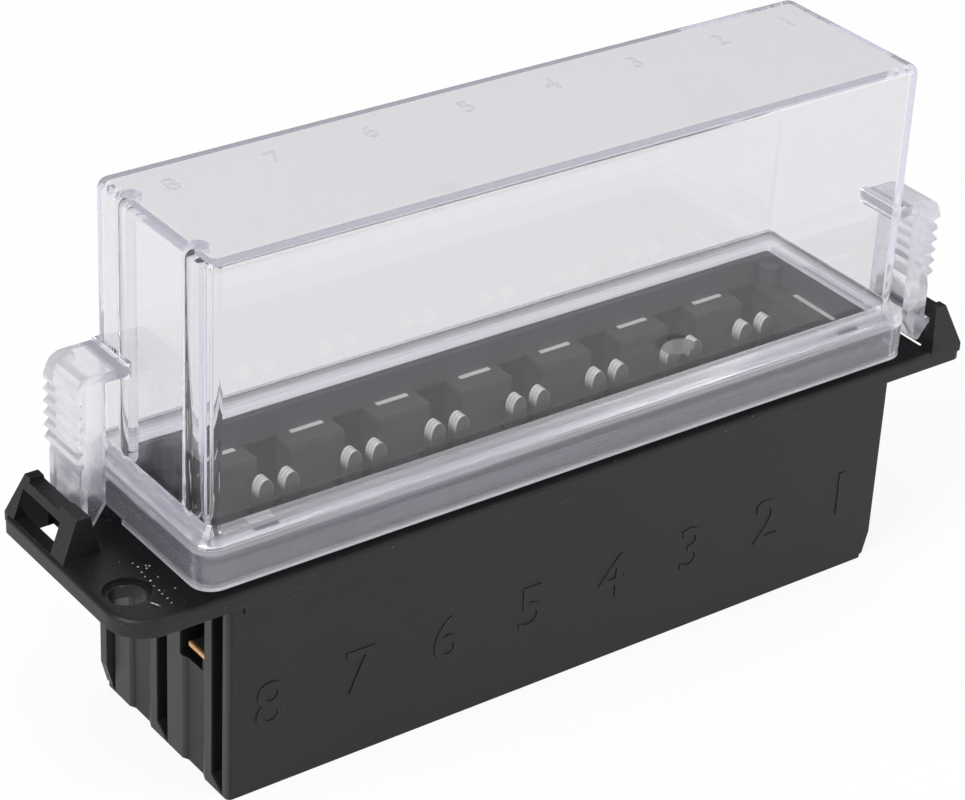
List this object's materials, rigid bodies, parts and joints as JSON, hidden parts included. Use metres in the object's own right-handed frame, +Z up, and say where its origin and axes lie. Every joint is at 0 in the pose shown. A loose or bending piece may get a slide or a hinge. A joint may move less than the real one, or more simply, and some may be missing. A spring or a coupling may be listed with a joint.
{
  "type": "blade fuse block",
  "caption": "Black moulded blade fuse block with a row of fork contacts, a flange with mounting ears, and a deep clear cover held by two end latches.",
  "frame": {"origin": "middle of the housing's underside, on the plane that it stands on", "axes": "+X along the row of fuses to the right, +Y to the back, +Z up through the cover"},
  "size_m": [0.153, 0.0352, 0.0858],
  "materials": {
    "housing": "satin black moulding",
    "cover": "clear, polished",
    "latch": "clear, slightly milky",
    "contact": "tinned brass",
    "plate": "tinned brass"
  },
  "bodies": {
    "housing": {"housing": "housing", "bus_bar": "contact", "output_contact_1": "contact", "output_contact_2": "contact", "output_contact_3": "contact", "output_contact_4": "contact", "output_contact_5": "contact", "output_contact_6": "contact", "output_contact_7": "contact", "output_contact_8": "contact", "wall_plate_1": "plate", "wall_plate_2": "plate", "wall_plate_3": "plate", "wall_plate_4": "plate", "wall_plate_5": "plate", "wall_plate_6": "plate", "wall_plate_7": "plate", "wall_plate_8": "plate", "end_plate": "plate"},
    "cover": {"cover": "cover"},
    "latch_left": {"latch_left": "latch"},
    "latch_right": {"latch_right": "latch"}
  },
  "joints": [
    {"name": "cover_lift", "type": "slide", "parent": "housing", "child": "cover", "axis": [0, 0, 1], "range_m": [0, 0.06]},
    {"name": "latch_left_press", "type": "hinge", "parent": "cover", "child": "latch_left", "pos_m": [-0.0634, 0.00965, 0.0604], "axis": [0, -1, 0], "range_deg": [0, 4.5], "stiffness_Nm_per_rad": 0.3},
    {"name": "latch_right_press", "type": "hinge", "parent": "cover", "child": "latch_right", "pos_m": [0.0634, -0.00965, 0.0604], "axis": [0, 1, 0], "range_deg": [0, 4.5], "stiffness_Nm_per_rad": 0.3}
  ]
}
